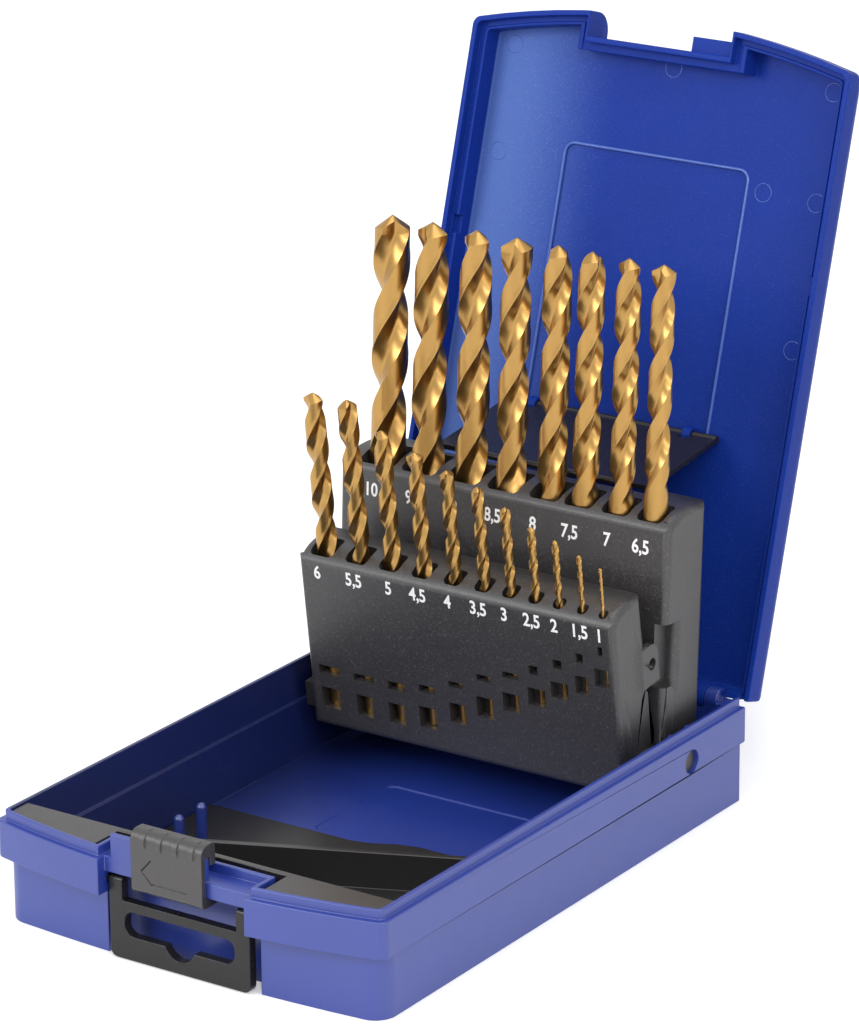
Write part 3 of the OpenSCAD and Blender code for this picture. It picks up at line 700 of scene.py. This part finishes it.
def drill_tree():
    """A twist drill as a rolled grid: shank, two flutes with margins, web and a coned point."""
    bench, given = new_tree(
        "twist_drill", Diameter=0.01, Length=0.133, Flute=0.087, Lead=5.4, Web=0.43, Clearance=0.955,
        Drop=0.6, Rings=150,
    )
    diameter, length, clearance = given["Diameter"], given["Length"], given["Clearance"]
    radius = diameter * 0.5
    rings = given["Rings"] + 0.0
    grid = bench.add(
        "GeometryNodeMeshGrid", None,
        {
            "Size X": 1.0, "Size Y": 1.0, "Vertices Y": AROUND + 1,
            "Vertices X": given["Rings"] + float(RINGS_BELOW + POINT_STEPS + 2),
        },
    )
    place = bench.add("GeometryNodeInputPosition")
    split = bench.add("ShaderNodeSeparateXYZ", None, {0: place})
    point_ring = rings + float(RINGS_BELOW + 1)
    ring = round((split + 0.5) * (point_ring + float(POINT_STEPS)))
    column = round((split.out("Y") + 0.5) * float(AROUND))
    half = column % (AROUND / 2.0)

    # The flutes run from the shank to a neck, just below the lowest part of the point
    start = length - given["Flute"]
    neck = length - radius * given["Drop"] - diameter * NECK
    height = between(start, neck, ((ring - float(RINGS_BELOW)) / rings).clamp())
    turn = (height - start) / (diameter * given["Lead"]) * (2 * math.pi)

    # The land takes the first part of each half turn, with its margin last, and the flute the rest
    flute_share = ((half - LAND_END) / (AROUND / 2.0 - LAND_END)).clamp()
    in_flute = half.above(LAND_END + 0.5)
    land = between(clearance, 1.0, half.above(LAND_END - MARGIN))
    rim = between(1.0, clearance, flute_share)
    hollow = (flute_share * math.pi).sin().at_least(0.0) ** FLUTE_POWER
    flute = rim - (rim - given["Web"]) * hollow
    profile = between(land, flute, in_flute)
    section = between(1.0, profile, ((height - start) / (diameter * RUN_OUT)).smooth())

    # The first ring closes the foot and the next two are its chamfer; the last ones close the point
    cone = ((ring - point_ring) / float(POINT_STEPS)).clamp()
    foot = ring.above(0.5) * (1.0 - CHAMFER_WIDTH * (1.0 - ring.above(1.5)))
    reach = radius * section * (1.0 - cone) * foot
    low = ring.above(1.5) * (diameter * CHAMFER_HEIGHT) + SEAT_GAP
    heel = between(((LAND_END - half) / LAND_END).clamp(), flute_share, in_flute)
    point = length - reach * given["Drop"] - reach * heel * HEEL_DROP
    body = between(low, height, ring.above(RINGS_BELOW - 0.5))
    tall = between(body, point, ring.above(point_ring - 0.5))

    angle = column * (2 * math.pi / AROUND) + turn
    spot = bench.add(
        "ShaderNodeCombineXYZ", None, {"X": reach * angle.cos(), "Y": reach * angle.sin(), "Z": tall}
    )
    moved = bench.add("GeometryNodeSetPosition", None, {"Geometry": grid, "Position": spot})
    merged = bench.add("GeometryNodeMergeByDistance", None, {"Geometry": moved, "Distance": WELD})
    bend = bench.add("GeometryNodeInputMeshEdgeAngle")
    soft = bench.add("FunctionNodeCompare", {"operation": "LESS_THAN"}, {"A": bend, "B": CREASE})
    faces = bench.add("GeometryNodeSetShadeSmooth", {"domain": "FACE"}, {"Geometry": merged})
    edges = bench.add(
        "GeometryNodeSetShadeSmooth", {"domain": "EDGE"}, {"Geometry": faces, "Shade Smooth": soft}
    )
    return close_tree(bench, edges, given["Material"])


def recess_tree():
    """The rounded edge of a shallow panel: a thin bead along a rectangle with round corners."""
    bench, given = new_tree("recess_edge", Width=0.0588, Depth=0.0746, Corner=0.003, Bead=0.00045)
    outline = bench.add(
        "GeometryNodeCurvePrimitiveQuadrilateral", None, {"Width": given["Width"], "Height": given["Depth"]}
    )
    rounded = bench.add(
        "GeometryNodeFilletCurve", {"mode": "POLY"},
        {"Curve": outline, "Count": 8, "Radius": given["Corner"], "Limit Radius": True},
    )
    return close_tree(bench, tube(bench, rounded, 10, given["Bead"]), given["Material"])


def ring_tree():
    """Round ejector marks: a low ring at every vertex of the base mesh, flat in its plane."""
    bench, given = new_tree("ejector_rings", Radius=0.0025, Bead=0.00012)
    ring = tube(bench, circle(bench, 40, given["Radius"]), 6, given["Bead"])
    spots = bench.add(
        "GeometryNodeInstanceOnPoints", None, {"Points": given["Geometry"], "Instance": ring}
    )
    return close_tree(bench, spots, given["Material"])


# ---- Studio -------------------------------------------------------------------------


def add_floor(half):
    """A square of pale paper that shows a little brighter than it is lit."""
    mesh = bpy.data.meshes.new("floor")
    corners = [(-half, -half, 0), (half, -half, 0), (half, half, 0), (-half, half, 0)]
    mesh.from_pydata(corners, [], [(0, 1, 2, 3)])
    floor = link(bpy.data.objects.new("floor", mesh))
    # A hair lower than the part's underside, so that the two never share a plane
    floor.location.z = -0.05 * MM
    material = bpy.data.materials.new("paper_floor")
    bench = emptied(material)
    close_material(bench, {
        "Base Color": (0.86, 0.86, 0.86, 1),
        "Roughness": 0.9,
        "Specular IOR Level": 0.0,
        "Emission Color": bench.mix(bench.backdrop_share(), (0, 0, 0, 1), (0.34, 0.34, 0.34, 1)),
        "Emission Strength": 1.0,
    })
    floor.data.materials.append(material)
    floor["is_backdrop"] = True


def add_lamp(name, place, aim, width, height, power):
    """A rectangular light that faces a spot."""
    data = bpy.data.lights.new(name, "AREA")
    data.shape = "RECTANGLE"
    data.size, data.size_y = width, height
    data.energy = power
    lamp = link(bpy.data.objects.new(name, data))
    lamp.location = place
    lamp.rotation_euler = (Vector(aim) - Vector(place)).to_track_quat("-Z", "Y").to_euler()


def white_room(strength):
    """A world that looks white, and lights the object with this strength."""
    world = bpy.data.worlds.new("studio_room")
    bench = emptied(world)
    power = between(strength, 1.0, bench.backdrop_share())
    back = bench.add("ShaderNodeBackground", None, {"Color": (1, 1, 1, 1), "Strength": power})
    bench.add("ShaderNodeOutputWorld", None, {"Surface": back})
    return world


def add_camera(lens):
    """The camera at its place, turned by its three angles."""
    data = bpy.data.cameras.new("camera")
    data.lens = lens
    data.sensor_width = 36.0
    data.clip_start, data.clip_end = 0.05, 60.0
    camera = link(bpy.data.objects.new("camera", data))
    level = math.cos(ELEVATION)
    back = Vector((math.sin(AZIMUTH) * level, -math.cos(AZIMUTH) * level, math.sin(ELEVATION)))
    right = Vector((math.cos(AZIMUTH), math.sin(AZIMUTH), 0.0))
    up = back.cross(right)
    turned_right = math.cos(ROLL) * right + math.sin(ROLL) * up
    turned_up = -math.sin(ROLL) * right + math.cos(ROLL) * up
    pose = Matrix((turned_right, turned_up, back)).transposed().to_4x4()
    pose.translation = CAMERA_PLACE
    camera.matrix_world = pose
    return camera


# ---- Operators ------------------------------------------------------------------------


class DRILLCASE_OT_finishes(bpy.types.Operator):
    """Make the finishes that the pieces share"""

    bl_idname = "drillcase.finishes"
    bl_label = "Finishes"

    def execute(self, context):
        look = context.scene.drillcase_finish
        blue, black = look.blue_roughness, look.black_roughness
        MATERIALS.update(
            # The lid carries a painted sheen on the left of its ceiling
            lid=moulded_plastic(
                "lid_plastic", look.lid_blue, blue - 0.04, grain=0.34, depth=0.012,
                speck=1.0, specular=0.08, painted_sheen=0.6,
            ),
            # A glossy blue painted lighter than the lid, as a painted highlight on the rings and the
            # panel's rounded edge
            gloss=moulded_plastic(
                "lid_gloss_painted_highlight", (0.05, 0.11, 0.42, 1.0), 0.2, grain=0.3, depth=0.002, speck=0.05
            ),
            # The tray carries painted shade inside, towards its left wall
            tray=moulded_plastic(
                "tray_plastic", look.tray_blue, blue - 0.02, grain=0.4, depth=0.01,
                specular=1.0, painted_shade=0.8,
            ),
            block=moulded_plastic(
                "block_plastic", look.block_black, black, grain=0.5, depth=0.05,
                speck=0.35, cloud=0.2, specular=0.85,
            ),
            insert=moulded_plastic(
                "insert_plastic", look.insert_black, black - 0.1, grain=0.4, depth=0.008,
                speck=0.05, specular=0.9,
            ),
            latch=moulded_plastic(
                "latch_plastic", look.latch_black, black - 0.02, grain=0.45, depth=0.02,
                speck=0.12, specular=0.8,
            ),
            bar=moulded_plastic(
                "hanger_plastic", shade(look.latch_black, 0.4), 0.3, grain=0.45, depth=0.01,
                speck=0.05, specular=0.4,
            ),
            plate=moulded_plastic(
                "plate_plastic", shade(look.insert_black, 1.5), 0.3, grain=0.5, depth=0.008, speck=0.03
            ),
            gold=ground_gold("drill_steel", look.drill_gold, look.gold_roughness),
            ink=printed_ink("printed_ink", look.ink_white),
        )
        return {"FINISHED"}


class DRILLCASE_OT_tray(bpy.types.Operator):
    """Dress the tray and its insert"""

    bl_idname = "drillcase.tray"
    bl_label = "Tray"

    def execute(self, context):
        width = context.scene.drillcase_finish.edge_width
        tray = dressed_copy("tray", "tray_shell", width)
        finish_piece(tray, MATERIALS["tray"], "tray", "blue_tray", "tray")
        insert = dressed_copy("front_insert", "insert_shell", width * 0.8)
        finish_piece(insert, MATERIALS["insert"], "tray", "dark_insert", "front_insert")
        return {"FINISHED"}


class DRILLCASE_OT_lid(bpy.types.Operator):
    """Dress the lid, and put its ejector marks and its shallow panel's edge on"""

    bl_idname = "drillcase.lid"
    bl_label = "Lid"

    def execute(self, context):
        look = context.scene.drillcase_finish
        # The rings and the panel's edge take that glossy blue, painted lighter as a painted highlight
        gloss = MATERIALS["gloss"]
        lid = dressed_copy("lid", "lid_shell", look.edge_width * 0.65)
        finish_piece(lid, MATERIALS["lid"], "lid", "blue_lid", "lid")
        base = bpy.data.meshes.new("ring_places")
        base.from_pydata([(x * MM, y * MM, LID_CEILING) for x, y in EJECTOR_MARKS], [], [])
        marks = run_tree(ring_tree(), base, {"Material": gloss})
        marks.transform(LID_PLACE)
        finish_piece(link(bpy.data.objects.new("lid_rings", marks)), gloss, "lid", "blue_lid")
        edge = run_tree(recess_tree(), bpy.data.meshes.new("recess_base"), {"Material": gloss})
        edge.transform(LID_PLACE @ Matrix.Translation((0, PANEL_MIDDLE, LID_CEILING)))
        finish_piece(link(bpy.data.objects.new("lid_panel_edge", edge)), gloss, "lid", "blue_lid")
        return {"FINISHED"}


class DRILLCASE_OT_blocks(bpy.types.Operator):
    """Dress the two drill blocks and the plate that lifts them"""

    bl_idname = "drillcase.blocks"
    bl_label = "Drill blocks"

    def execute(self, context):
        look = context.scene.drillcase_finish
        for node, half, low in BLOCKS:
            # The outer edges of the sides are round, and those of the seats and windows are sharp
            block = dressed_copy(node, node + "_shell", look.block_width, outer_sides(half, low), 4)
            finish_piece(block, MATERIALS["block"], node, "dark_block", node)
        plate = dressed_copy("lift_plate", "lift_plate_shell", look.edge_width * 0.8)
        finish_piece(plate, MATERIALS["plate"], "lift_plate", "dark_plate", "lift_plate")
        return {"FINISHED"}


class DRILLCASE_OT_latch(bpy.types.Operator):
    """Dress the latch slider and the hanger under it"""

    bl_idname = "drillcase.latch"
    bl_label = "Latch and hanger"

    def execute(self, context):
        width = context.scene.drillcase_finish.edge_width
        slider = dressed_copy("latch_slider", "slider_shell", width * 0.6)
        finish_piece(slider, MATERIALS["latch"], "latch_slider", "dark_latch", "latch_slider")
        hanger = dressed_copy("hanger", "hanger_shell", width * 0.9)
        finish_piece(hanger, MATERIALS["bar"], "hanger", "dark_latch", "hanger")
        return {"FINISHED"}


class DRILLCASE_OT_drills(bpy.types.Operator):
    """Make the drills of both rows"""

    bl_idname = "drillcase.drills"
    bl_label = "Drills"

    def execute(self, context):
        shape = context.scene.drillcase_drills
        tree = drill_tree()
        shared = {
            "Lead": shape.lead, "Web": shape.web, "Clearance": shape.clearance, "Rings": shape.rings,
            "Drop": 1.0 / math.tan(shape.point / 2), "Material": MATERIALS["gold"],
        }
        drills = [
            (size, REAR_TIP, turn, REAR_PLACE, REAR_BEHIND) for size, turn in zip(REAR_DRILLS, REAR_TURN)
        ]
        drills += [
            (size[:5], size[5], FRONT_TURN + size[2] * FRONT_TURN_STEP, FRONT_PLACE, FRONT_BEHIND)
            for size in FRONT_DRILLS
        ]
        for (_, diameter, across, length, flute), tip, turn, place, behind in drills:
            own = {"Diameter": (diameter - BORE_PLAY) * MM, "Length": length * MM, "Flute": flute * MM}
            mesh = run_tree(tree, bpy.data.meshes.new("drill_base"), {**own, **shared})
            seat = Matrix.Translation(Vector((across, behind + diameter / 2, tip - length)) * MM)
            mesh.transform(place @ seat @ Matrix.Rotation(turn, 4, "Z"))
            node = "bit_" + ("%.1f" % diameter).replace(".", "_")
            drill = link(bpy.data.objects.new(node.replace("bit", "drill"), mesh))
            finish_piece(drill, MATERIALS["gold"], node, "gold_drill", node)
        return {"FINISHED"}


class DRILLCASE_OT_labels(bpy.types.Operator):
    """Print the drill sizes on the faces of the blocks"""

    bl_idname = "drillcase.labels"
    bl_label = "Printed sizes"

    def execute(self, context):
        look = context.scene.drillcase_labels
        rows = (
            ("rear_sizes", REAR_DRILLS, REAR_LABEL_X, look.rear_row, REAR_PLACE, "rear_block"),
            ("front_sizes", FRONT_DRILLS, FRONT_LABEL_X, look.front_row, FRONT_PLACE, "front_block"),
        )
        # Text lies flat: it is narrowed, then stood up to face the front
        stand = Matrix.Rotation(math.radians(90), 4, "X") @ Matrix.Diagonal((look.narrow, 1, 1, 1))
        for name, drills, places, height, place, body in rows:
            meshes = []
            for drill, across in zip(drills, places):
                text = bpy.data.curves.new("size_text", "FONT")
                text.body = drill[0]
                text.size = look.height
                text.extrude = INK_DEPTH
                text.offset = INK_SPREAD
                text.resolution_u = 4
                text.align_x = "CENTER"
                text.align_y = "CENTER"
                obj = link(bpy.data.objects.new("size_text", text))
                mesh = evaluated_mesh(obj)
                bpy.data.objects.remove(obj)
                mesh.transform(place @ Matrix.Translation((across * MM, -INK_DEPTH, height)) @ stand)
                meshes.append(mesh)
            finish_piece(join_meshes(name, meshes), MATERIALS["ink"], body, "dark_block")
        return {"FINISHED"}


class DRILLCASE_OT_stage(bpy.types.Operator):
    """Set the floor, the lights, the room and the camera"""

    bl_idname = "drillcase.stage"
    bl_label = "Studio"

    def execute(self, context):
        look = context.scene.drillcase_stage
        add_floor(8.0)
        add_lamp("key_light", (-0.5, -1.0, 0.7), (0, 0.02, 0.09), 0.6, 0.5, look.key_power)
        add_lamp("fill_light", (1.25, -0.45, 0.7), (0, 0, 0.09), 0.5, 1.0, look.fill_power)
        add_lamp("glint_light", (0.72, -0.92, 0.98), (0, 0, 0.12), 0.1, 0.8, look.glint_power)
        add_lamp("top_light", (0.1, 0.1, 1.5), (0, 0.02, 0.05), 1.1, 0.7, look.top_power)
        context.scene.world = white_room(look.room)
        context.scene.camera = add_camera(look.lens)
        context.scene.view_settings.view_transform = "Standard"
        return {"FINISHED"}


class DRILLCASE_PT_panel(bpy.types.Panel):
    """Lists the pieces of the drill case"""

    bl_idname = "DRILLCASE_PT_panel"
    bl_label = "Drill case"
    bl_space_type = "VIEW_3D"
    bl_region_type = "UI"
    bl_category = "Drill case"

    def draw(self, context):
        column = self.layout.column(align=True)
        for operator in OPERATORS:
            column.operator(operator.bl_idname)
        for name in GROUPS:
            group = getattr(context.scene, name)
            box = self.layout.box()
            for prop in group.bl_rna.properties:
                if prop.identifier not in ("rna_type", "name"):
                    box.prop(group, prop.identifier)


OPERATORS = (
    DRILLCASE_OT_finishes,
    DRILLCASE_OT_tray,
    DRILLCASE_OT_lid,
    DRILLCASE_OT_blocks,
    DRILLCASE_OT_latch,
    DRILLCASE_OT_drills,
    DRILLCASE_OT_labels,
    DRILLCASE_OT_stage,
)
GROUPS = {
    "drillcase_finish": DRILLCASE_PG_finish,
    "drillcase_drills": DRILLCASE_PG_drills,
    "drillcase_labels": DRILLCASE_PG_labels,
    "drillcase_stage": DRILLCASE_PG_stage,
}


def register():
    for name, group in GROUPS.items():
        bpy.utils.register_class(group)
        setattr(bpy.types.Scene, name, bpy.props.PointerProperty(type=group))
    for operator in OPERATORS:
        bpy.utils.register_class(operator)
    bpy.utils.register_class(DRILLCASE_PT_panel)


def unregister():
    bpy.utils.unregister_class(DRILLCASE_PT_panel)
    for operator in reversed(OPERATORS):
        bpy.utils.unregister_class(operator)
    for name, group in GROUPS.items():
        delattr(bpy.types.Scene, name)
        bpy.utils.unregister_class(group)


def main():
    register()
    bpy.ops.drillcase.finishes()
    bpy.ops.drillcase.tray()
    bpy.ops.drillcase.lid()
    bpy.ops.drillcase.blocks()
    bpy.ops.drillcase.latch()
    bpy.ops.drillcase.drills()
    bpy.ops.drillcase.labels()
    bpy.ops.drillcase.stage()
    low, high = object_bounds()
    {"cad": [list(corner) for corner in CAD_BOX], "visual": [list(low), list(high)]}


if __name__ == "__main__":
    main()
